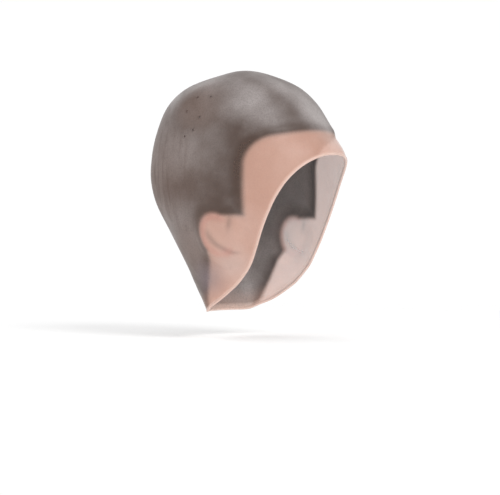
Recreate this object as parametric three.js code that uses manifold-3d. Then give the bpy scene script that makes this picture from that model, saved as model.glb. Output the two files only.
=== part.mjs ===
// A highlighting cap: one thin, moulded, translucent film with a round bead along its edge.
// It holds the form that it is drawn into when worn. It covers the crown, brow, temples, ear
// pockets and nape, and leaves a single opening at the front and below.
//
// Millimetres, +Z up, brow towards -Y. The origin is the highest point of the hollow.
// The film is built as rings round a mould axis that leans back, so that the edge is nearly
// one ring. The outer face is level sections plus soft relief, and the inner face lies one
// wall inside it.

import * as THREE from "three";
import { mergeVertices } from "three/addons/utils/BufferGeometryUtils.js";
import Module from "manifold-3d";

const wasm = await Module();
wasm.setup();

// Film
const WALL = 1.2;
const BEAD_RADIUS = 1.3;
const BEAD_STEPS = 6;
const RINGS = 34;
const COLUMNS = 72;

// Mould axis: it leaves the middle of the hollow and leans back from +Z
const MIDDLE = new THREE.Vector3(0, 0, -95);
const AXIS_LEAN = rad(42);
const AXIS = new THREE.Vector3(0, Math.sin(AXIS_LEAN), Math.cos(AXIS_LEAN));
const TO_BROW = new THREE.Vector3(0, -Math.cos(AXIS_LEAN), Math.sin(AXIS_LEAN));
const TO_SIDE = new THREE.Vector3(-1, 0, 0);
const FARTHEST = 260;
const HALVINGS = 36;

// Level sections of the outer face, each an egg of two half superellipses. depth is below
// the crown, front and back are the reach each way, and widest is how far back the egg is
// at its widest.
const ROUNDNESS = 2.15;
const SECTIONS = [
  { depth: 0, halfWidth: 0, front: 0, back: 0, widest: 0 },
  { depth: 5, halfWidth: 29, front: 24.5, back: 20.5, widest: 0 },
  { depth: 17, halfWidth: 53, front: 50.5, back: 56.5, widest: 4 },
  { depth: 31, halfWidth: 64.5, front: 66, back: 73.5, widest: 7 },
  { depth: 53, halfWidth: 73, front: 81, back: 84.5, widest: 9 },
  { depth: 82, halfWidth: 78, front: 100.5, back: 91.5, widest: 10 },
  { depth: 104, halfWidth: 79, front: 103, back: 92.5, widest: 8 },
  { depth: 124, halfWidth: 78, front: 104, back: 87.5, widest: 4 },
  { depth: 154, halfWidth: 73, front: 102, back: 70, widest: 0 },
  { depth: 190, halfWidth: 62.5, front: 96, back: 50, widest: -4 },
  { depth: 230, halfWidth: 52, front: 85, back: 31, widest: -8 },
];

// Edge of the film: polar is the angle from the mould axis, azimuth runs from the brow (0)
// round the side to the nape (180). The other side mirrors it.
const EDGE = [
  { azimuth: 0, polar: 124.2 },
  { azimuth: 20, polar: 124.1 },
  { azimuth: 34, polar: 125.5 },
  { azimuth: 48, polar: 128.6 },
  { azimuth: 62, polar: 132.8 },
  { azimuth: 77, polar: 137.5 },
  { azimuth: 90, polar: 140.7 },
  { azimuth: 105, polar: 143.3 },
  { azimuth: 118, polar: 143.7 },
  { azimuth: 130, polar: 141.4 },
  { azimuth: 141, polar: 136.6 },
  { azimuth: 150, polar: 131.2 },
  { azimuth: 165, polar: 125.8 },
  { azimuth: 180, polar: 124.4 },
];

// Step where the full crown drops to the close-fitting margin at the brow, temples and ear
// pockets. Each corner bounds a margin zone in front of y and below depth. For each
// millimetre, tilt lifts its top line towards the brow and lean sets its upright back.
const STEP_DROP = 3.2;
const STEP_WIDTH = 11;
const MARGIN_CORNERS = [
  { y: -36, depth: 71.4, radius: 22, tilt: 0.24, lean: 0 },
  { y: -9.5, depth: 138, radius: 8, tilt: 0, lean: 0.29 },
];

// Ear pocket on each side, proudest at its back edge. The margin takes it in whole.
const EAR = { y: -12, depth: 157.5, halfLength: 16.5, halfHeight: 22, lean: rad(24) };
const EAR_RISE = 7.5;
const EAR_FADE = 0.65;
const EAR_FRONT_SHARE = 0.45;
const EAR_HOLLOW = 1.6;

// Shallow dents: centre, radius and depth of each
const DENTS = [
  { x: -17, y: 32, z: -9, radius: 15, sink: 2 },
  { x: -66, y: 22, z: -42, radius: 15, sink: 1 },
];

// Tension folds that fan up from the edge below each ear: azimuth of each, and its height
const FOLDS = [
  { azimuth: 120, rise: 0.5 },
  { azimuth: 135, rise: 0.8 },
  { azimuth: 150, rise: 0.7 },
];
const FOLD_HALF_WIDTH = rad(5.5);
const FOLD_LENGTH = rad(34);

// Holes that the hook has opened in the crown, on one side
const HOLE_RADIUS = 1;
const HOLE_SIDES = 8;
const HOLES = [
  { azimuth: 56, polar: 57 },
  { azimuth: 63, polar: 50 },
  { azimuth: 76, polar: 51 },
  { azimuth: 71, polar: 62 },
  { azimuth: 80, polar: 65 },
  { azimuth: 88, polar: 64 },
];

const FILM_COLOUR = 0x968b8b;

function rad(degrees) {
  return (degrees * Math.PI) / 180;
}

function smoothstep(low, high, value) {
  return THREE.MathUtils.smoothstep(value, low, high);
}

// Slope of each table row for a smooth curve, from its neighbours.
function slopes(knots, values) {
  const last = knots.length - 1;
  const chord = (i) => (values[i + 1] - values[i]) / (knots[i + 1] - knots[i]);
  return knots.map((knot, i) => {
    if (i === 0) return chord(0);
    if (i === last) return chord(last - 1);
    const before = knot - knots[i - 1];
    const after = knots[i + 1] - knot;
    return (chord(i - 1) * after + chord(i) * before) / (before + after);
  });
}

// A smooth curve through a table: returns a function from a knot value to a column's value.
function curveThrough(knots, values, ends = slopes(knots, values)) {
  return (at) => {
    let i = 0;
    while (i < knots.length - 2 && at > knots[i + 1]) i += 1;
    const span = knots[i + 1] - knots[i];
    const t = (at - knots[i]) / span;
    const t2 = t * t;
    const t3 = t2 * t;
    return (
      (2 * t3 - 3 * t2 + 1) * values[i] +
      (t3 - 2 * t2 + t) * span * ends[i] +
      (3 * t2 - 2 * t3) * values[i + 1] +
      (t3 - t2) * span * ends[i + 1]
    );
  };
}

// The sections run over the root of the depth, which keeps the crown round.
const sectionKnots = SECTIONS.map((row) => Math.sqrt(row.depth));
const sectionCurve = {};
for (const column of ["halfWidth", "front", "back", "widest"]) {
  sectionCurve[column] = curveThrough(sectionKnots, SECTIONS.map((row) => row[column]));
}

const edgeKnots = EDGE.map((row) => rad(row.azimuth));
const edgeValues = EDGE.map((row) => rad(row.polar));
const edgeSlopes = slopes(edgeKnots, edgeValues);
edgeSlopes[0] = 0;
edgeSlopes[edgeSlopes.length - 1] = 0;
const edgeCurve = curveThrough(edgeKnots, edgeValues, edgeSlopes);

function edgePolar(azimuth) {
  const turn = Math.abs(Math.atan2(Math.sin(azimuth), Math.cos(azimuth)));
  return edgeCurve(turn);
}

// True inside the level sections.
function isInside(point) {
  if (point.z >= 0) return false;
  const root = Math.sqrt(-point.z);
  const halfWidth = sectionCurve.halfWidth(root);
  const widest = sectionCurve.widest(root);
  const reach = point.y < widest ? sectionCurve.front(root) + widest : sectionCurve.back(root) - widest;
  const across = Math.abs(point.x) / halfWidth;
  const along = Math.abs(point.y - widest) / reach;
  return across ** ROUNDNESS + along ** ROUNDNESS < 1;
}

function rayDirection(azimuth, polar) {
  return new THREE.Vector3()
    .addScaledVector(AXIS, Math.cos(polar))
    .addScaledVector(TO_BROW, Math.sin(polar) * Math.cos(azimuth))
    .addScaledVector(TO_SIDE, Math.sin(polar) * Math.sin(azimuth));
}

// How far the sections reach from the middle along a ray, found by halving.
function reachAlong(direction) {
  let near = 0;
  let far = FARTHEST;
  for (let i = 0; i < HALVINGS; i += 1) {
    const half = (near + far) / 2;
    const probe = MIDDLE.clone().addScaledVector(direction, half);
    if (isInside(probe)) near = half;
    else far = half;
  }
  return (near + far) / 2;
}

// Place on the ear pocket: how far back in its leaning frame, and the share of its radius.
function earPlace(point) {
  const along = point.y - EAR.y;
  const down = -point.z - EAR.depth;
  const back = along * Math.cos(EAR.lean) + down * Math.sin(EAR.lean);
  const low = down * Math.cos(EAR.lean) - along * Math.sin(EAR.lean);
  return { back, radius: Math.hypot(back / EAR.halfLength, low / EAR.halfHeight) };
}

// 1 on the full crown and 0 in the margin zone, with a soft step between them.
function crownShare(point) {
  const distances = MARGIN_CORNERS.map(({ y, depth, radius, tilt, lean }) => {
    const ahead = point.y - y + lean * (point.z + depth) + radius;
    const above = point.z + depth + tilt * (point.y - y) + radius;
    const outside = Math.hypot(Math.max(ahead, 0), Math.max(above, 0));
    return outside + Math.min(Math.max(ahead, above), 0) - radius;
  });
  distances.push((earPlace(point).radius - 1) * EAR.halfLength);
  return smoothstep(-STEP_WIDTH / 2, STEP_WIDTH / 2, Math.min(...distances));
}

// Height of the ear pocket: a soft mound with a hollow behind its front edge.
function earRise(point) {
  const { back, radius } = earPlace(point);
  const mound = 1 - smoothstep(1 - EAR_FADE / 2, 1 + EAR_FADE, radius);
  const hollow = EAR_HOLLOW * (1 - smoothstep(0, 0.8, radius));
  const lift = smoothstep(-EAR.halfLength, EAR.halfLength, back);
  return mound * EAR_RISE * (EAR_FRONT_SHARE + (1 - EAR_FRONT_SHARE) * lift) - hollow;
}

function dentSink(point) {
  let sink = 0;
  for (const dent of DENTS) {
    const away = Math.hypot(point.x - dent.x, point.y - dent.y, point.z - dent.z);
    sink += dent.sink * (1 - smoothstep(0, dent.radius, away));
  }
  return sink;
}

// Tension folds: low ridges that start at the edge and fade out up the film.
function foldRise(azimuth, polar) {
  const turn = Math.abs(Math.atan2(Math.sin(azimuth), Math.cos(azimuth)));
  const fade = smoothstep(0, 1, 1 - (edgePolar(azimuth) - polar) / FOLD_LENGTH);
  let rise = 0;
  for (const fold of FOLDS) {
    const aside = (turn - rad(fold.azimuth)) / FOLD_HALF_WIDTH;
    rise += fold.rise * fade * Math.exp(-aside * aside);
  }
  return rise;
}

// A point of the outer face.
function outerPoint(azimuth, polar) {
  const direction = rayDirection(azimuth, polar);
  const reach = reachAlong(direction);
  const point = MIDDLE.clone().addScaledVector(direction, reach);
  const drop = STEP_DROP * (1 - crownShare(point));
  const relief = earRise(point) - drop - dentSink(point) + foldRise(azimuth, polar);
  return MIDDLE.clone().addScaledVector(direction, reach + relief);
}

// Outward normal and downhill tangent of the outer face, from close neighbours.
const NEAR = rad(0.6);
function frameAt(azimuth, polar) {
  const down = outerPoint(azimuth, polar + NEAR).sub(outerPoint(azimuth, polar - NEAR));
  const spread = NEAR / Math.max(Math.sin(polar), Math.sin(NEAR));
  const round = outerPoint(azimuth + spread, polar).sub(outerPoint(azimuth - spread, polar));
  const normal = down.clone().cross(round).normalize();
  if (normal.dot(rayDirection(azimuth, polar)) < 0) normal.negate();
  return { normal, down: down.normalize() };
}

// One column of the wall's section from the pole's outer face, over the bead, to the pole's
// inner face. Every column starts and ends at the same two points.
function columnPoints(azimuth) {
  const outer = [];
  const inner = [];
  const last = edgePolar(azimuth);
  for (let ring = 0; ring < RINGS; ring += 1) {
    const polar = (last * ring) / RINGS;
    const face = outerPoint(azimuth, polar);
    const { normal } = frameAt(azimuth, polar);
    outer.push(face);
    inner.push(face.clone().addScaledVector(normal, -WALL));
  }
  return [...outer, ...beadArc(azimuth, last), ...inner.reverse()];
}

// The bead's arc, from the outer face round the edge to the inner face.
function beadArc(azimuth, polar) {
  const { normal, down } = frameAt(azimuth, polar);
  const round = rimTangent(azimuth);
  const out = round.clone().cross(normal).normalize();
  if (out.dot(down) < 0) out.negate();
  const centre = outerPoint(azimuth, polar).addScaledVector(normal, -WALL / 2);
  const join = Math.asin(WALL / 2 / BEAD_RADIUS);
  const points = [];
  for (let step = 0; step <= BEAD_STEPS; step += 1) {
    const angle = join + ((2 * Math.PI - 2 * join) * step) / BEAD_STEPS;
    points.push(
      centre
        .clone()
        .addScaledVector(normal, BEAD_RADIUS * Math.sin(angle))
        .addScaledVector(out, -BEAD_RADIUS * Math.cos(angle)),
    );
  }
  return points;
}

function rimTangent(azimuth) {
  const ahead = outerPoint(azimuth + NEAR, edgePolar(azimuth + NEAR));
  const behind = outerPoint(azimuth - NEAR, edgePolar(azimuth - NEAR));
  return ahead.sub(behind).normalize();
}

// The closed film: columns joined by quads, with a fan at each pole.
function filmGeometry() {
  const columns = [];
  for (let column = 0; column < COLUMNS; column += 1) {
    columns.push(columnPoints((2 * Math.PI * column) / COLUMNS));
  }
  const height = columns[0].length;
  const outerPole = columns[0][0];
  const innerPole = columns[0][height - 1];
  const positions = [];
  const addTriangle = (...corners) => {
    for (const corner of corners) positions.push(corner.x, corner.y, corner.z);
  };
  columns.forEach((column, index) => {
    const next = columns[(index + 1) % COLUMNS];
    addTriangle(outerPole, next[1], column[1]);
    for (let row = 1; row < height - 2; row += 1) {
      addTriangle(column[row], next[row], column[row + 1]);
      addTriangle(next[row], next[row + 1], column[row + 1]);
    }
    addTriangle(innerPole, column[height - 2], next[height - 2]);
  });
  const geometry = new THREE.BufferGeometry();
  geometry.setAttribute("position", new THREE.Float32BufferAttribute(positions, 3));
  return geometry;
}

function toSolid(geometry) {
  const bare = geometry.index ? geometry.toNonIndexed() : geometry.clone();
  bare.deleteAttribute("normal");
  bare.deleteAttribute("uv");
  const merged = mergeVertices(bare, 1e-3);
  return new wasm.Manifold(
    new wasm.Mesh({
      numProp: 3,
      vertProperties: merged.attributes.position.array,
      triVerts: new Uint32Array(merged.index.array),
    }),
  );
}

function toGeometry(solid) {
  const mesh = solid.getMesh();
  const geometry = new THREE.BufferGeometry();
  geometry.setAttribute("position", new THREE.BufferAttribute(mesh.vertProperties, mesh.numProp));
  geometry.setIndex(new THREE.BufferAttribute(mesh.triVerts, 1));
  geometry.computeVertexNormals();
  return geometry;
}

// A short pin across the wall, which cuts one hook hole.
function holeCutter({ azimuth, polar }) {
  const { normal } = frameAt(rad(azimuth), rad(polar));
  const centre = outerPoint(rad(azimuth), rad(polar)).addScaledVector(normal, -WALL / 2);
  const pin = new THREE.CylinderGeometry(HOLE_RADIUS, HOLE_RADIUS, 4 * WALL, HOLE_SIDES);
  const turn = new THREE.Quaternion().setFromUnitVectors(new THREE.Vector3(0, 1, 0), normal);
  pin.applyQuaternion(turn).translate(centre.x, centre.y, centre.z);
  return toSolid(pin);
}

function capMesh() {
  let solid = toSolid(filmGeometry());
  for (const hole of HOLES) solid = solid.subtract(holeCutter(hole));
  const geometry = toGeometry(solid);
  const material = new THREE.MeshStandardMaterial({
    color: FILM_COLOUR,
    roughness: 0.45,
    metalness: 0,
    transparent: true,
    opacity: 0.75,
    side: THREE.DoubleSide,
  });
  const mesh = new THREE.Mesh(geometry, material);
  mesh.name = "cap_film";
  mesh.position.z = WALL;
  return mesh;
}

const highlightingCap = new THREE.Group();
highlightingCap.add(capMesh());

export default highlightingCap;
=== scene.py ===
# A highlighting cap: the film, its beaded edge and its hook holes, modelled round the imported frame.
import math

import bpy
import numpy as np
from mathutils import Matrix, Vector


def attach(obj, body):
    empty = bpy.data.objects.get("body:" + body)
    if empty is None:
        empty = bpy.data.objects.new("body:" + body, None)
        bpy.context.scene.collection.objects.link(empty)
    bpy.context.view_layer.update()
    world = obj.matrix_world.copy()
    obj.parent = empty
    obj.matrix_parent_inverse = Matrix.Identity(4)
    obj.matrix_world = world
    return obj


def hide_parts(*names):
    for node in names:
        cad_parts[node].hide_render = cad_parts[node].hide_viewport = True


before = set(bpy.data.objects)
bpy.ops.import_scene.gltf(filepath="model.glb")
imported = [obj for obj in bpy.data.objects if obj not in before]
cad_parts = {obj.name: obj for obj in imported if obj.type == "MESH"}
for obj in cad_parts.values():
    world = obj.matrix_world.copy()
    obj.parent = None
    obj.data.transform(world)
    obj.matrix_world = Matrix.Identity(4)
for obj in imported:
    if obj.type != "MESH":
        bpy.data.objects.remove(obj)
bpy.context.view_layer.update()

MM = 0.001

# Film, in millimetres. The origin is the highest point of the hollow, so the crown's outer face
# tops out one wall above it.
WALL = 1.2
CROWN_TOP = np.array([0.0, 0.0, WALL])
BEAD_RADIUS = 1.2
BEAD_STEPS = 10
RINGS = 148
COLUMNS = 300
START_RADIUS = 0.1
SMOOTH_ANGLE = math.radians(60)

# Mould axis: it leaves the middle of the hollow and leans back from +Z. A ray from the middle
# meets the form before FARTHEST, and NEAR is the step that slopes are taken over.
MIDDLE = np.array([0.0, 0.0, -95.0])
LEAN = math.radians(42)
AXIS = np.array([0.0, math.sin(LEAN), math.cos(LEAN)])
TO_BROW = np.array([0.0, -math.cos(LEAN), math.sin(LEAN)])
TO_SIDE = np.array([-1.0, 0.0, 0.0])
FARTHEST = 260.0
HALVINGS = 34
NEAR = math.radians(0.4)
NEAR_POLE = 1e-3

# Level sections of the outer face: depth below the crown, half width, reach to the front,
# reach to the back, and how far back the section is widest
ROUNDNESS = 2.15
DEEPEST = 400
SECTIONS = np.array([
    (0, 0, 0, 0, 0),
    (5, 29, 24.5, 20.5, 0),
    (17, 53, 50.5, 56.5, 4),
    (31, 64.5, 66, 73.5, 7),
    (53, 73, 81, 84.5, 9),
    (82, 78, 100.5, 91.5, 10),
    (104, 79, 103, 92.5, 8),
    (124, 78, 104, 87.5, 4),
    (154, 73, 102, 70, 0),
    (190, 62.5, 96, 50, -4),
    (230, 52, 85, 31, -8),
], float)

# Edge of the film: turn round the mould axis from the brow, and angle from that axis
EDGE = np.radians(np.array([
    (0, 124.2),
    (20, 124.1),
    (34, 125.5),
    (48, 128.6),
    (62, 132.8),
    (77, 137.5),
    (90, 140.7),
    (105, 143.3),
    (118, 143.7),
    (130, 141.4),
    (141, 136.6),
    (150, 131.2),
    (165, 125.8),
    (180, 124.4),
], float))

# Step from the full crown down to the margin. Each corner has its place, depth and radius,
# the tilt of its top line towards the brow and the lean of its upright towards the back.
STEP_DROP = 3.2
STEP_WIDTH = 11.0
MARGIN_CORNERS = [(-36, 71.4, 22, 0.24, 0), (-9.5, 138, 8, 0, 0.29)]

# Ear pocket: its fade and the reach of its hollow are shares of its half axes
EAR_Y, EAR_DEPTH = -12.0, 157.5
EAR_HALF_LENGTH, EAR_HALF_HEIGHT = 16.5, 22.0
EAR_LEAN = math.radians(24)
EAR_RISE, EAR_FADE, EAR_FRONT_SHARE = 7.5, 0.65, 0.45
EAR_HOLLOW, EAR_HOLLOW_REACH = 1.6, 0.8

# Marks on the ear pocket, in its leaning frame: back and low are measured from its middle.
# A pair says where a mark begins to show and where it shows in full.
RIM_RADIUS, RIM_WIDTH, RIM_RISE = 0.82, 0.15, 1.2
RIM_FROM_FRONT, RIM_OVER_TOP, RIM_FROM_BELOW = (-10, 0), (-6, -13), (24, 12)
GROOVE_BACK, GROOVE_LOW, GROOVE_BEND = 8.5, -4.5, 0.024
GROOVE_WIDTH, GROOVE_DEPTH = 3.0, 0.8
GROOVE_FROM_TOP, GROOVE_FROM_BELOW = (-15, -2), (24, 18)
POCKET_CREASE_BACK, POCKET_CREASE_LOW, POCKET_CREASE_DEPTH = -15.5, -7.5, 0.7
POCKET_CREASE_AIM = (0.55, 0.84)
POCKET_CREASE_MIDDLE, POCKET_CREASE_ALONG, POCKET_CREASE_ACROSS = 1.5, 46, 8
LOBE_BACK, LOBE_LOW, LOBE_SPREAD, LOBE_RISE = -1, 16.5, 22, 0.7

# Shallow dents: x, y, z, radius, depth
DENTS = [(-17, 32, -9, 15, 2.0), (-66, 22, -42, 15, 1.0)]

# Broad tension folds above the edge: turn and height
FOLDS = [(120, 0.5), (135, 0.8), (150, 0.7)]
FOLD_HALF_WIDTH = math.radians(5.5)
FOLD_LENGTH = math.radians(34)

# Fine creases that only the surface shows: turn, angle up from the edge, length, width, height
CREASES = [
    (112, 3, 16, 1.4, 0.45),
    (126, 2, 20, 1.5, 0.55),
    (131, 4, 14, 1.2, -0.4),
    (141, 2, 22, 1.5, 0.55),
    (147, 3, 16, 1.3, -0.4),
    (157, 2, 18, 1.5, 0.5),
    (171, 2, 12, 1.6, 0.35),
    (52, 2, 9, 1.6, 0.3),
    (67, 3, 11, 1.6, -0.3),
    (95, 3, 12, 1.6, 0.3),
]
CREASE_GROWS, CREASE_FADES = (0, 0.3), (0.5, 1)
CREASE_BEND = 0.25

# Hook holes: turn and angle from the mould axis, and the stretched lip round each
HOLE_RADIUS = 1.0
HOLE_SIDES = 24
HOLES = [(56, 57), (63, 50), (76, 51), (71, 62), (80, 65), (88, 64)]
LIP_RADIUS, LIP_THICKNESS, LIP_SINK, LIP_SIDES = 1.35, 0.42, 0.1, 10

# Where each mask of the material begins and ends, in millimetres past the step or in from the edge
CROWN_BEGINS = (-5, 2)
STEP_SHADE_BEGINS, STEP_SHADE_ENDS = (-3.5, 1.5), (1.5, 14)
BEAD_ENDS = (0.2, 2.2)
EDGE_BAND_ENDS = (2, 16)
# Share of the rim's painted highlight that the lobe gets
LOBE_HIGHLIGHT = 0.7


# Form

def smoothstep(low, high, value):
    t = np.clip((value - low) / (high - low), 0, 1)
    return t * t * (3 - 2 * t)


def slopes(knots, values):
    chord = np.diff(values, axis=0) / np.diff(knots)[:, None]
    gap = np.diff(knots)[:, None]
    inner = (chord[:-1] * gap[1:] + chord[1:] * gap[:-1]) / (gap[1:] + gap[:-1])
    return np.vstack([chord[:1], inner, chord[-1:]])


def curve_through(knots, values, ends, at):
    """A smooth curve through the rows of a table, at many knot values at once."""
    i = np.clip(np.searchsorted(knots, at, side="right") - 1, 0, len(knots) - 2)
    span = (knots[i + 1] - knots[i])[..., None]
    t = (at - knots[i])[..., None] / span
    return (
        (2 * t**3 - 3 * t**2 + 1) * values[i]
        + (t**3 - 2 * t**2 + t) * span * ends[i]
        + (3 * t**2 - 2 * t**3) * values[i + 1]
        + (t**3 - t**2) * span * ends[i + 1]
    )


SECTION_KNOTS = np.sqrt(SECTIONS[:, 0])
SECTION_ENDS = slopes(SECTION_KNOTS, SECTIONS[:, 1:])
EDGE_ENDS = slopes(EDGE[:, 0], EDGE[:, 1:])
EDGE_ENDS[0] = 0
EDGE_ENDS[-1] = 0


def half_turn(turn):
    """Turn from the brow to either side, from 0 to half a circle."""
    return np.abs(np.arctan2(np.sin(turn), np.cos(turn)))


def edge_polar(turn):
    return curve_through(EDGE[:, 0], EDGE[:, 1:], EDGE_ENDS, half_turn(turn))[..., 0]


def ray(turn, polar):
    side = np.cos(turn)[..., None] * TO_BROW + np.sin(turn)[..., None] * TO_SIDE
    return np.cos(polar)[..., None] * AXIS + np.sin(polar)[..., None] * side


def inside(point):
    """True inside the level sections."""
    x, y, z = np.moveaxis(point, -1, 0)
    root = np.sqrt(np.clip(-z, 0, DEEPEST))
    row = curve_through(SECTION_KNOTS, SECTIONS[:, 1:], SECTION_ENDS, root)
    half, front, back, widest = np.moveaxis(row, -1, 0)
    reach = np.where(y < widest, front + widest, back - widest)
    across = np.abs(x) / np.maximum(half, 1e-6)
    along = np.abs(y - widest) / np.maximum(reach, 1e-6)
    return (z < 0) & (across**ROUNDNESS + along**ROUNDNESS < 1)


def reach_along(direction):
    """How far the level sections reach from the middle, found by halving."""
    near = np.zeros(direction.shape[:-1])
    far = np.full(direction.shape[:-1], FARTHEST)
    for _ in range(HALVINGS):
        half = (near + far) / 2
        within = inside(MIDDLE + direction * half[..., None])
        near = np.where(within, half, near)
        far = np.where(within, far, half)
    return (near + far) / 2


def ear_frame(point):
    """Place on the ear pocket: back and low in its leaning frame, and the share of its radius."""
    along = point[..., 1] - EAR_Y
    down = -point[..., 2] - EAR_DEPTH
    back = along * math.cos(EAR_LEAN) + down * math.sin(EAR_LEAN)
    low = down * math.cos(EAR_LEAN) - along * math.sin(EAR_LEAN)
    return back, low, np.hypot(back / EAR_HALF_LENGTH, low / EAR_HALF_HEIGHT)


def above_step(point):
    """Distance above or behind the step at the foot of the full crown, negative in the margin."""
    zones = [(ear_frame(point)[2] - 1) * EAR_HALF_LENGTH]
    for y, depth, radius, tilt, lean in MARGIN_CORNERS:
        ahead = point[..., 1] - y + lean * (point[..., 2] + depth) + radius
        above = point[..., 2] + depth + tilt * (point[..., 1] - y) + radius
        outside = np.hypot(np.maximum(ahead, 0), np.maximum(above, 0))
        zones.append(outside + np.minimum(np.maximum(ahead, above), 0) - radius)
    return np.min(zones, axis=0)


def crown_share(point):
    """1 on the full crown and 0 in the margin zone, with a soft step between them."""
    return smoothstep(-STEP_WIDTH / 2, STEP_WIDTH / 2, above_step(point))


def ear_rim(back, low, radius):
    """The raised rim round the pocket's top and back."""
    shown = np.maximum(smoothstep(*RIM_FROM_FRONT, back), smoothstep(*RIM_OVER_TOP, low))
    return np.exp(-(((radius - RIM_RADIUS) / RIM_WIDTH) ** 2)) * shown * smoothstep(*RIM_FROM_BELOW, low)


def ear_groove(back, low):
    """The bent groove inside the rim."""
    line = GROOVE_BACK - GROOVE_BEND * (low - GROOVE_LOW) ** 2
    shown = smoothstep(*GROOVE_FROM_TOP, low) * smoothstep(*GROOVE_FROM_BELOW, low)
    return np.exp(-(((back - line) / GROOVE_WIDTH) ** 2)) * shown


def ear_crease(back, low):
    """The short crease in front of the pocket."""
    aim_back, aim_low = POCKET_CREASE_AIM
    back = back - POCKET_CREASE_BACK
    low = low - POCKET_CREASE_LOW
    across = aim_low * back - aim_back * low
    along = aim_back * back + aim_low * low - POCKET_CREASE_MIDDLE
    return np.exp(-(across**2) / POCKET_CREASE_ACROSS - along**2 / POCKET_CREASE_ALONG)


def ear_marks(point):
    """Where the pocket's rim, the groove inside it, the crease before it and the lobe show."""
    back, low, radius = ear_frame(point)
    lobe = np.exp(-((back - LOBE_BACK) ** 2 + (low - LOBE_LOW) ** 2) / LOBE_SPREAD)
    return ear_rim(back, low, radius), ear_groove(back, low), ear_crease(back, low), lobe


def ear_rise(point, marked):
    """The pocket over the ear: the CAD's soft mound, and with marked its finer relief on it."""
    back, _, radius = ear_frame(point)
    mound = 1 - smoothstep(1 - EAR_FADE / 2, 1 + EAR_FADE, radius)
    hollow = EAR_HOLLOW * (1 - smoothstep(0, EAR_HOLLOW_REACH, radius))
    lift = smoothstep(-EAR_HALF_LENGTH, EAR_HALF_LENGTH, back)
    rise = mound * EAR_RISE * (EAR_FRONT_SHARE + (1 - EAR_FRONT_SHARE) * lift) - hollow
    if marked:
        rim, groove, crease, lobe = ear_marks(point)
        raised = RIM_RISE * rim + LOBE_RISE * lobe
        sunk = GROOVE_DEPTH * groove + POCKET_CREASE_DEPTH * crease
        rise = rise + raised - sunk
    return rise


def dent_sink(point):
    sink = 0
    for x, y, z, radius, depth in DENTS:
        away = np.linalg.norm(point - np.array([x, y, z]), axis=-1)
        sink = sink + depth * (1 - smoothstep(0, radius, away))
    return sink


def fold_rise(turn, polar):
    """The broad folds and the fine creases that run up from the edge."""
    side = half_turn(turn)
    up = edge_polar(turn) - polar
    fade = smoothstep(0, 1, 1 - up / FOLD_LENGTH)
    rise = 0
    for place, height in FOLDS:
        rise = rise + height * fade * np.exp(-(((side - math.radians(place)) / FOLD_HALF_WIDTH) ** 2))
    for place, start, length, width, height in CREASES:
        share = (up - math.radians(start)) / math.radians(length)
        shown = smoothstep(*CREASE_GROWS, share) * (1 - smoothstep(*CREASE_FADES, share))
        line = math.radians(place) + CREASE_BEND * up
        rise = rise + height * shown * np.exp(-(((side - line) / math.radians(width)) ** 2))
    return rise


def outer_point(turn, polar, marked=True):
    """A point of the outer face, in millimetres from the highest point of that face."""
    turn, polar = np.broadcast_arrays(np.asarray(turn, float), np.asarray(polar, float))
    direction = ray(turn, polar)
    reach = reach_along(direction)
    point = MIDDLE + direction * reach[..., None]
    relief = ear_rise(point, marked) - STEP_DROP * (1 - crown_share(point))
    relief = relief - dent_sink(point) + fold_rise(turn, polar)
    return MIDDLE + direction * (reach + relief)[..., None]


def frame_at(turn, polar, marked=True):
    """Outward normal and downhill tangent of the outer face."""
    down = outer_point(turn, polar + NEAR, marked) - outer_point(turn, polar - NEAR, marked)
    aside = NEAR / np.maximum(np.sin(polar), math.sin(NEAR))
    across = outer_point(turn + aside, polar, marked) - outer_point(turn - aside, polar, marked)
    normal = np.cross(down, across)
    normal /= np.linalg.norm(normal, axis=-1, keepdims=True)
    flip = (normal * ray(turn, polar)).sum(-1, keepdims=True) < 0
    normal = np.where(flip, -normal, normal)
    return normal, down / np.linalg.norm(down, axis=-1, keepdims=True)


def edge_frame(turn):
    """Middle of the wall at the film's edge, its outward normal, and the way on past the edge."""
    polar = edge_polar(turn)
    normal, down = frame_at(turn, polar)
    run = outer_point(turn + NEAR, edge_polar(turn + NEAR))
    run = run - outer_point(turn - NEAR, edge_polar(turn - NEAR))
    past = np.cross(run / np.linalg.norm(run, axis=-1, keepdims=True), normal)
    past = np.where((past * down).sum(-1, keepdims=True) < 0, -past, past)
    return outer_point(turn, polar) - normal * WALL / 2, normal, past


def bead_rows(turn):
    """Rings of the bead, from the outer face round to the inner face."""
    centre, normal, past = edge_frame(turn)
    join = math.asin(WALL / 2 / BEAD_RADIUS)
    rows = []
    for step in range(BEAD_STEPS + 1):
        angle = join + (2 * math.pi - 2 * join) * step / BEAD_STEPS
        rows.append(centre + BEAD_RADIUS * (math.sin(angle) * normal - math.cos(angle) * past))
    return np.array(rows)


def film_rows():
    """The outer pole, the inner pole, and the rings from one to the other over the bead."""
    turn = 2 * np.pi * np.arange(COLUMNS) / COLUMNS
    share = np.arange(1, RINGS) / RINGS
    polar = share[:, None] * edge_polar(turn)
    outer = outer_point(turn, polar)
    normal, _ = frame_at(turn, polar, marked=False)
    inner = outer_point(turn, polar, marked=False) - WALL * normal
    rows = np.concatenate([outer, bead_rows(turn), inner[::-1]])

    outer_pole = outer_point(np.zeros(1), np.zeros(1))[0]
    pole_normal = frame_at(np.zeros(1), np.full(1, NEAR_POLE))[0][0]
    return outer_pole, outer_pole - WALL * pole_normal, rows


# Modelling

def deselect_all():
    bpy.ops.object.select_all(action="DESELECT")


def vertex_places(mesh):
    places = np.empty(len(mesh.vertices) * 3)
    mesh.vertices.foreach_get("co", places)
    return places.reshape(-1, 3)


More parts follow.
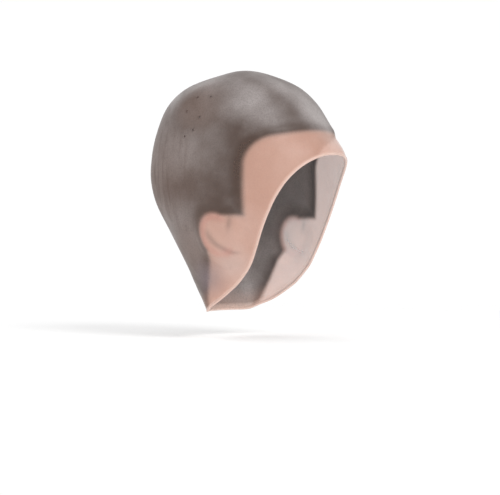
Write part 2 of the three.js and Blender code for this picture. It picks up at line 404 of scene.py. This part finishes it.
def model_film():
    """A sphere's faces run from pole to pole as the wall does, from the outer crown over the
    edge bead to the inner crown, so the film starts as one and its rings are set in place."""
    outer_pole, inner_pole, rows = film_rows()
    steps = len(rows) + 1
    deselect_all()
    bpy.ops.mesh.primitive_uv_sphere_add(
        segments=COLUMNS, ring_count=steps, radius=START_RADIUS, location=(0, 0, 0)
    )
    film = bpy.context.object
    film.name = "film"
    start = vertex_places(film.data)
    from_top = np.degrees(np.arccos(np.clip(start[:, 2] / START_RADIUS, -1, 1)))
    around = np.degrees(np.arctan2(start[:, 1], start[:, 0]))
    ring = np.rint(from_top / 180 * steps).astype(int) - 1
    column = np.rint(around / 360 * COLUMNS).astype(int) % COLUMNS
    placed = rows[np.clip(ring, 0, len(rows) - 1), column]
    placed[ring < 0] = outer_pole
    placed[ring >= len(rows)] = inner_pole
    film.data.vertices.foreach_set("co", ((placed + CROWN_TOP) * MM).ravel())
    film.data.update()
    bpy.ops.object.mode_set(mode="EDIT")
    bpy.ops.mesh.select_all(action="SELECT")
    bpy.ops.mesh.normals_make_consistent(inside=False)
    bpy.ops.mesh.quads_convert_to_tris(quad_method="SHORTEST_DIAGONAL")
    bpy.ops.object.mode_set(mode="OBJECT")
    return film


def hole_places():
    """The middle of each hook hole on the outer face, and the outward normal there."""
    for turn, polar in HOLES:
        place = np.radians([float(turn)]), np.radians([float(polar)])
        yield outer_point(*place)[0] + CROWN_TOP, frame_at(*place)[0][0]


def facing(normal):
    return Vector(normal).to_track_quat("Z", "Y").to_euler()


def join_tools(tools):
    deselect_all()
    for tool in tools:
        tool.select_set(True)
    bpy.context.view_layer.objects.active = tools[0]
    bpy.ops.object.join()
    bpy.ops.object.transform_apply(location=True, rotation=True, scale=True)
    return bpy.context.object


def model_hole_lips():
    """The stretched lip round each hook hole."""
    lips = []
    for centre, normal in hole_places():
        bpy.ops.mesh.primitive_torus_add(
            major_segments=HOLE_SIDES, minor_segments=LIP_SIDES,
            major_radius=LIP_RADIUS * MM, minor_radius=LIP_THICKNESS * MM,
            location=(centre - LIP_SINK * normal) * MM, rotation=facing(normal),
        )
        lips.append(bpy.context.object)
    return join_tools(lips)


def model_hole_pins():
    """A short pin through each hook hole."""
    pins = []
    for centre, normal in hole_places():
        bpy.ops.mesh.primitive_cylinder_add(
            vertices=HOLE_SIDES, radius=HOLE_RADIUS * MM, depth=4 * WALL * MM,
            location=(centre - WALL / 2 * normal) * MM, rotation=facing(normal),
        )
        pins.append(bpy.context.object)
    return join_tools(pins)


def boolean(piece, tool, operation):
    deselect_all()
    piece.select_set(True)
    bpy.context.view_layer.objects.active = piece
    cut = piece.modifiers.new("hook_holes", "BOOLEAN")
    cut.operation = operation
    cut.solver = "EXACT"
    cut.object = tool
    bpy.ops.object.modifier_apply(modifier=cut.name)
    bpy.data.objects.remove(tool)


def note_masks(piece):
    """Point attributes that the material reads, from each point's place on the form."""
    place = vertex_places(piece.data) / MM - CROWN_TOP
    away = place - MIDDLE
    reach = np.linalg.norm(away, axis=-1)
    polar = np.arccos(np.clip(away @ AXIS / reach, -1, 1))
    turn = np.arctan2(away @ TO_SIDE, away @ TO_BROW)
    gap = (edge_polar(turn) - polar) * reach
    rim, groove, crease, lobe = ear_marks(place)
    above = above_step(place)
    masks = {
        "crown": smoothstep(*CROWN_BEGINS, above),
        "step_shade": smoothstep(*STEP_SHADE_BEGINS, above) * (1 - smoothstep(*STEP_SHADE_ENDS, above)),
        # The pocket's groove and crease get painted shade, its rim and lobe a painted highlight
        "ear_shade": np.clip(groove + crease, 0, 1),
        "ear_highlight": np.clip(rim + LOBE_HIGHLIGHT * lobe, 0, 1),
        "bead": 1 - smoothstep(*BEAD_ENDS, gap),
        "edge_band": 1 - smoothstep(*EDGE_BAND_ENDS, gap),
    }
    for name, values in masks.items():
        mask = piece.data.attributes.new(name, "FLOAT", "POINT")
        mask.data.foreach_set("value", values.astype(np.float32))


# Nodes

def srgb(red, green, blue):
    """A colour picked as 0 to 255, as the linear values that Blender mixes."""
    def linear(value):
        value /= 255
        return value / 12.92 if value <= 0.04045 else ((value + 0.055) / 1.055) ** 2.4
    return (linear(red), linear(green), linear(blue), 1.0)


def feed(tree, socket, value):
    """Links a node's output to a socket, or sets a plain value on it."""
    if isinstance(value, bpy.types.NodeSocket):
        tree.links.new(value, socket)
    else:
        socket.default_value = value


def mix_colour(tree, factor, first, second):
    node = tree.nodes.new("ShaderNodeMix")
    node.data_type = "RGBA"
    feed(tree, node.inputs[0], factor)
    feed(tree, node.inputs[6], first)
    feed(tree, node.inputs[7], second)
    return node.outputs[2]


def maths(tree, operation, first, second):
    node = tree.nodes.new("ShaderNodeMath")
    node.operation = operation
    feed(tree, node.inputs[0], first)
    feed(tree, node.inputs[1], second)
    return node.outputs[0]


def times(tree, mask, amount):
    return maths(tree, "MULTIPLY", mask, amount)


def plus(tree, first, second):
    return maths(tree, "ADD", first, second)


def minus(tree, first, second):
    return maths(tree, "SUBTRACT", first, second)


def ramp(tree, value, old, new=(0.0, 1.0)):
    """A value eased from one range to another."""
    node = tree.nodes.new("ShaderNodeMapRange")
    node.interpolation_type = "SMOOTHSTEP"
    feed(tree, node.inputs["Value"], value)
    node.inputs["From Min"].default_value, node.inputs["From Max"].default_value = old
    node.inputs["To Min"].default_value, node.inputs["To Max"].default_value = new
    return node.outputs["Result"]


def noise(tree, place, scale, detail, stretch=(1, 1, 1)):
    mapping = tree.nodes.new("ShaderNodeMapping")
    mapping.inputs["Scale"].default_value = stretch
    tree.links.new(place, mapping.inputs["Vector"])
    texture = tree.nodes.new("ShaderNodeTexNoise")
    texture.inputs["Scale"].default_value = scale
    texture.inputs["Detail"].default_value = detail
    tree.links.new(mapping.outputs["Vector"], texture.inputs["Vector"])
    return texture.outputs["Fac"]


def patch(tree, place, centre, radius):
    """1 at a place on the film, fading to 0 a radius away."""
    away = tree.nodes.new("ShaderNodeVectorMath")
    away.operation = "DISTANCE"
    tree.links.new(place, away.inputs[0])
    away.inputs[1].default_value = centre
    return ramp(tree, away.outputs["Value"], (0.0, radius), (1.0, 0.0))


def widest_patch(tree, place, places):
    """Several soft patches in one mask."""
    mask = patch(tree, place, *places[0])
    for centre, radius in places[1:]:
        mask = maths(tree, "MAXIMUM", mask, patch(tree, place, centre, radius))
    return mask


def attribute(tree, name):
    node = tree.nodes.new("ShaderNodeAttribute")
    node.attribute_name = name
    return node.outputs["Fac"]


# Film material: colours, and how much of each mark shows

CROWN_DARK = srgb(84, 65, 56)
CROWN_LIGHT = srgb(186, 178, 176)
MARGIN = srgb(234, 185, 164)
# Milky tone of the margin, also the colour of the painted sheen at the brow
MILKY_AND_SHEEN_MARGIN = srgb(240, 210, 198)
# Pinker painted highlight on the ear pocket's rim and lobe
EAR_RIM_HIGHLIGHT = srgb(228, 164, 148)
BEAD = srgb(240, 208, 194)
WARM_BACK = srgb(128, 103, 91)
# Bluish grey of the painted shade at the nape
COOL_NAPE_SHADE = srgb(150, 138, 146)
STREAK = srgb(98, 78, 68)
GRAIN = srgb(70, 62, 60)

STEP_SHADE_SHARE = 0.36
WARM_SHARE = 0.55
STREAK_SHARE = 0.5
MILKY_AND_SHEEN_SHARE = 0.55
COOL_SHADE_SHARE = 0.5
EAR_SHADE_SHARE = 0.34
EAR_HIGHLIGHT_SHARE = 0.5
EDGE_BAND_SHARE = 0.25

# Noises: scale to the metre and detail. A pair is a range of the noise or of what it becomes.
CLOUDS = (22, 5)
CLOUD_RANGE, CLOUD_TONE = (0.25, 0.75), (0.24, 0.70)
CLOUD_MILK_RANGE, CLOUD_MILK = (0.35, 0.75), (0.0, 0.35)
CLOUD_HAZE_RANGE, CLOUD_HAZE = (0.3, 0.72), (0.40, 0.46)
CLOUD_GLOSS_RANGE, CLOUD_ROUGHNESS = (0.3, 0.7), (0.48, 0.38)
STREAKS = (10, 3, (18, 18, 1.1))
STREAK_RANGE = (0.48, 0.68)
SPECKS = (750, 3)
SPECK_RANGE, SPECK_SHARE, SPECK_BY_CROWN = (0.35, 0.75), (0.0, 0.26), (0.22, 1.0)
RIPPLES = (70, 3)
TONE_RANGE = (-0.25, 1.25)

# Alpha, gloss and bump
CROWN_HAZE, BEAD_HAZE, MOST_HAZE = 0.39, 0.30, 0.85
BEAD_GLOSS = 0.12
FILM_IOR = 1.42
BUMP_HEIGHT, BUMP_STRENGTH, SPECK_BUMP = 0.0006, 0.4, 0.25

# Soft patches on the crown: place in metres, radius, and how much lighter or darker
# The lighter patches are painted highlights and sheen, the darker ones painted shade mixed with darker
# mottle.
HIGHLIGHT_AND_SHADE_PATCHES = [
    ((-0.055, -0.038, -0.031), 0.036, 0.30),
    ((-0.002, -0.066, -0.034), 0.048, 0.42),
    ((-0.006, -0.082, -0.052), 0.032, 0.25),
    ((-0.039, -0.052, -0.028), 0.017, -0.25),
    ((-0.031, -0.066, -0.042), 0.018, -0.22),
    ((-0.068, -0.036, -0.061), 0.034, -0.25),
    ((-0.076, -0.012, -0.120), 0.050, -0.34),
    ((-0.075, -0.012, -0.072), 0.046, -0.30),
    ((-0.077, 0.022, -0.115), 0.050, -0.26),
    ((-0.068, 0.020, -0.055), 0.036, -0.16),
    ((-0.056, 0.024, -0.190), 0.050, -0.30),
    ((-0.054, 0.027, -0.020), 0.028, -0.45),
    ((-0.017, -0.048, -0.016), 0.026, 0.22),
    ((-0.009, -0.069, -0.034), 0.022, 0.12),
    ((0.010, -0.081, -0.053), 0.020, 0.25),
    ((-0.066, 0.058, -0.090), 0.036, 0.30),
    ((-0.076, -0.010, -0.071), 0.030, -0.16),
    ((-0.076, -0.018, -0.127), 0.028, -0.22),
]

# Warmer stretches of the crown, milkier ones of the margin, the one at the brow a painted sheen where the
# film turns away,
# and a bluish painted shade at the nape: place in metres and radius
WARM_PLACES = [
    ((-0.062, 0.060, -0.100), 0.095),
    ((-0.064, 0.022, -0.168), 0.060),
    ((-0.068, 0.016, -0.038), 0.045),
]
MILKY_AND_SHEEN_PLACES = [
    # At the brow, where the film turns away: a painted sheen
    ((0.012, -0.088, -0.068), 0.036),
    ((-0.062, -0.024, -0.186), 0.030),
]
COOL_SHADE_PLACE = ((-0.058, 0.006, -0.196), 0.026)


def crown_colour(tree, place, clouds):
    """Milky grey in soft patches of painted highlight and painted shade, painted shade at the step, warmer
    and streaked at the back.
    """
    tone = ramp(tree, clouds, CLOUD_RANGE, CLOUD_TONE)
    # Painted highlights and painted shade in soft patches
    for centre, radius, amount in HIGHLIGHT_AND_SHADE_PATCHES:
        tone = plus(tree, tone, times(tree, patch(tree, place, centre, radius), amount))
    tone = minus(tree, tone, times(tree, attribute(tree, "step_shade"), STEP_SHADE_SHARE))
    colour = mix_colour(tree, ramp(tree, tone, TONE_RANGE), CROWN_DARK, CROWN_LIGHT)
    warm = times(tree, widest_patch(tree, place, WARM_PLACES), WARM_SHARE)
    colour = mix_colour(tree, warm, colour, WARM_BACK)
    streaks = ramp(tree, noise(tree, place, *STREAKS), STREAK_RANGE)
    streaks = times(tree, streaks, patch(tree, place, *WARM_PLACES[0]))
    return mix_colour(tree, times(tree, streaks, STREAK_SHARE), colour, STREAK)


def margin_colour(tree, place, clouds):
    """Warm and pale, milkier at random and in patches, the one at the brow a painted sheen where the film
    turns away.
    """
    # Milkier patches, the one at the brow a painted sheen, and milkier clouds at random
    milky_and_sheen = times(tree, widest_patch(tree, place, MILKY_AND_SHEEN_PLACES), MILKY_AND_SHEEN_SHARE)
    milky_and_sheen = plus(tree, milky_and_sheen, ramp(tree, clouds, CLOUD_MILK_RANGE, CLOUD_MILK))
    return mix_colour(tree, milky_and_sheen, MARGIN, MILKY_AND_SHEEN_MARGIN)


def film_colour(tree, place, crown, bead, clouds, grain):
    """The crown's and the margin's colours, then the marks on both, painted shade and painted highlights
    among them, the bead and the specks.
    """
    colour = mix_colour(tree, crown, margin_colour(tree, place, clouds), crown_colour(tree, place, clouds))
    # Painted shade at the nape, a bluish grey seen through the film
    cool_shade = times(tree, patch(tree, place, *COOL_SHADE_PLACE), COOL_SHADE_SHARE)
    colour = mix_colour(tree, cool_shade, colour, COOL_NAPE_SHADE)
    # Painted shade in the pocket's groove and crease, and a painted highlight on its rim and lobe
    ear_shade = times(tree, attribute(tree, "ear_shade"), EAR_SHADE_SHARE)
    colour = mix_colour(tree, ear_shade, colour, CROWN_DARK)
    ear_highlight = times(tree, attribute(tree, "ear_highlight"), EAR_HIGHLIGHT_SHARE)
    colour = mix_colour(tree, ear_highlight, colour, EAR_RIM_HIGHLIGHT)
    band = times(tree, attribute(tree, "edge_band"), EDGE_BAND_SHARE)
    colour = mix_colour(tree, band, colour, MARGIN)
    colour = mix_colour(tree, bead, colour, BEAD)
    specks = ramp(tree, grain, SPECK_RANGE, SPECK_SHARE)
    specks = times(tree, specks, ramp(tree, crown, (0.0, 1.0), SPECK_BY_CROWN))
    return mix_colour(tree, specks, colour, GRAIN)


def film_haze(tree, crown, bead, clouds):
    """How much the film hides: most on the crown and the bead."""
    haze = plus(tree, times(tree, crown, CROWN_HAZE), times(tree, bead, BEAD_HAZE))
    haze = plus(tree, haze, ramp(tree, clouds, CLOUD_HAZE_RANGE, CLOUD_HAZE))
    return maths(tree, "MINIMUM", haze, MOST_HAZE)


def film_bump(tree, place, grain):
    bump = tree.nodes.new("ShaderNodeBump")
    bump.inputs["Distance"].default_value = BUMP_HEIGHT
    bump.inputs["Strength"].default_value = BUMP_STRENGTH
    height = plus(tree, times(tree, grain, SPECK_BUMP), noise(tree, place, *RIPPLES))
    tree.links.new(height, bump.inputs["Height"])
    return bump.outputs["Normal"]


def film_material():
    material = bpy.data.materials.new("milky_film")
    material.use_nodes = True
    tree = material.node_tree
    shader = tree.nodes["Principled BSDF"]
    place = tree.nodes.new("ShaderNodeTexCoord").outputs["Object"]
    crown = attribute(tree, "crown")
    bead = attribute(tree, "bead")
    clouds = noise(tree, place, *CLOUDS)
    grain = noise(tree, place, *SPECKS)
    roughness = ramp(tree, clouds, CLOUD_GLOSS_RANGE, CLOUD_ROUGHNESS)
    roughness = minus(tree, roughness, times(tree, bead, BEAD_GLOSS))
    tree.links.new(film_colour(tree, place, crown, bead, clouds, grain), shader.inputs["Base Color"])
    tree.links.new(film_haze(tree, crown, bead, clouds), shader.inputs["Alpha"])
    tree.links.new(roughness, shader.inputs["Roughness"])
    tree.links.new(film_bump(tree, place, grain), shader.inputs["Normal"])
    shader.inputs["IOR"].default_value = FILM_IOR
    return material


def dress(piece, material):
    piece.data.materials.clear()
    piece.data.materials.append(material)


film = model_film()
boolean(film, model_hole_lips(), "UNION")
boolean(film, model_hole_pins(), "DIFFERENCE")
deselect_all()
film.select_set(True)
bpy.context.view_layer.objects.active = film
bpy.ops.object.shade_smooth_by_angle(angle=SMOOTH_ANGLE)
note_masks(film)
dress(film, film_material())
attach(film, "root")
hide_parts("cap_film")


# Studio, in metres

FLOOR_DEPTH = -0.252
FLOOR_RADIUS = 3.0
FLOOR_SIDES = 96
FLOOR_TONE = 0.93
FLOOR_ROUGHNESS = 0.9
FLOOR_GLOW = 0.22
FLOOR_FADE = (0.35, 1.1)
WORLD_LIGHT = 0.55
BACKDROP_LIGHT = 0.47
LIGHT_AIM = Vector((0, 0, -0.11))
VIEW_TURN = math.radians(-60)
VIEW_DISTANCE = 1.5
VIEW_CENTRE = Vector((0, 0, -0.1668))
RIGHT_SHIFT = 0.0029
NEAREST_SEEN = 0.05
SENSOR_WIDTH = 36
PIXELS_WIDE = 500
MM_PER_PIXEL = 0.953


def floor_material():
    """Pale and matt, fading out into the white of the world."""
    material = bpy.data.materials.new("pale_floor")
    material.use_nodes = True
    tree = material.node_tree
    shader = tree.nodes["Principled BSDF"]
    shader.inputs["Base Color"].default_value = (FLOOR_TONE, FLOOR_TONE, FLOOR_TONE, 1)
    shader.inputs["Roughness"].default_value = FLOOR_ROUGHNESS
    shader.inputs["Emission Color"].default_value = (1, 1, 1, 1)
    shader.inputs["Emission Strength"].default_value = FLOOR_GLOW
    away = tree.nodes.new("ShaderNodeVectorMath")
    away.operation = "LENGTH"
    tree.links.new(tree.nodes.new("ShaderNodeTexCoord").outputs["Object"], away.inputs[0])
    tree.links.new(ramp(tree, away.outputs["Value"], FLOOR_FADE, (1.0, 0.0)), shader.inputs["Alpha"])
    return material


def studio_floor():
    deselect_all()
    bpy.ops.mesh.primitive_circle_add(
        vertices=FLOOR_SIDES, radius=FLOOR_RADIUS, fill_type="NGON", location=(0, 0, FLOOR_DEPTH)
    )
    floor = bpy.context.object
    floor.name = "floor"
    bpy.ops.object.transform_apply(location=True)
    floor.data.materials.append(floor_material())


def area_light(name, place, size, power):
    data = bpy.data.lights.new(name, "AREA")
    data.shape = "DISK"
    data.size = size
    data.energy = power
    light = bpy.data.objects.new(name, data)
    light.location = place
    light.rotation_euler = (LIGHT_AIM - Vector(place)).to_track_quat("-Z", "Y").to_euler()
    bpy.context.scene.collection.objects.link(light)


def studio_world():
    """White all round, and brighter where it is seen than where it lights the part."""
    world = bpy.data.worlds.new("studio")
    world.use_nodes = True
    bpy.context.scene.world = world
    tree = world.node_tree
    ground = tree.nodes["Background"]
    seen = tree.nodes.new("ShaderNodeLightPath").outputs["Is Camera Ray"]
    strength = plus(tree, WORLD_LIGHT, times(tree, seen, BACKDROP_LIGHT))
    ground.inputs["Color"].default_value = (1, 1, 1, 1)
    tree.links.new(strength, ground.inputs["Strength"])


def studio_camera():
    back = Vector((math.sin(VIEW_TURN), -math.cos(VIEW_TURN), 0))
    right = Vector((math.cos(VIEW_TURN), math.sin(VIEW_TURN), 0))
    data = bpy.data.cameras.new("photo_view")
    data.sensor_width = SENSOR_WIDTH
    data.lens = SENSOR_WIDTH * VIEW_DISTANCE / (PIXELS_WIDE * MM_PER_PIXEL * MM)
    data.clip_start = NEAREST_SEEN
    camera = bpy.data.objects.new("photo_view", data)
    camera.location = VIEW_CENTRE + right * RIGHT_SHIFT + back * VIEW_DISTANCE
    camera.rotation_euler = back.to_track_quat("Z", "Y").to_euler()
    bpy.context.scene.collection.objects.link(camera)
    bpy.context.scene.camera = camera


studio_floor()
studio_world()
studio_camera()
area_light("key", (-0.55, -1.35, 0.95), 1.0, 17)
area_light("fill", (-1.45, 0.65, 0.35), 1.2, 6)
area_light("back", (0.7, 1.3, 1.0), 1.0, 5)
bpy.context.scene.view_settings.view_transform = "Standard"
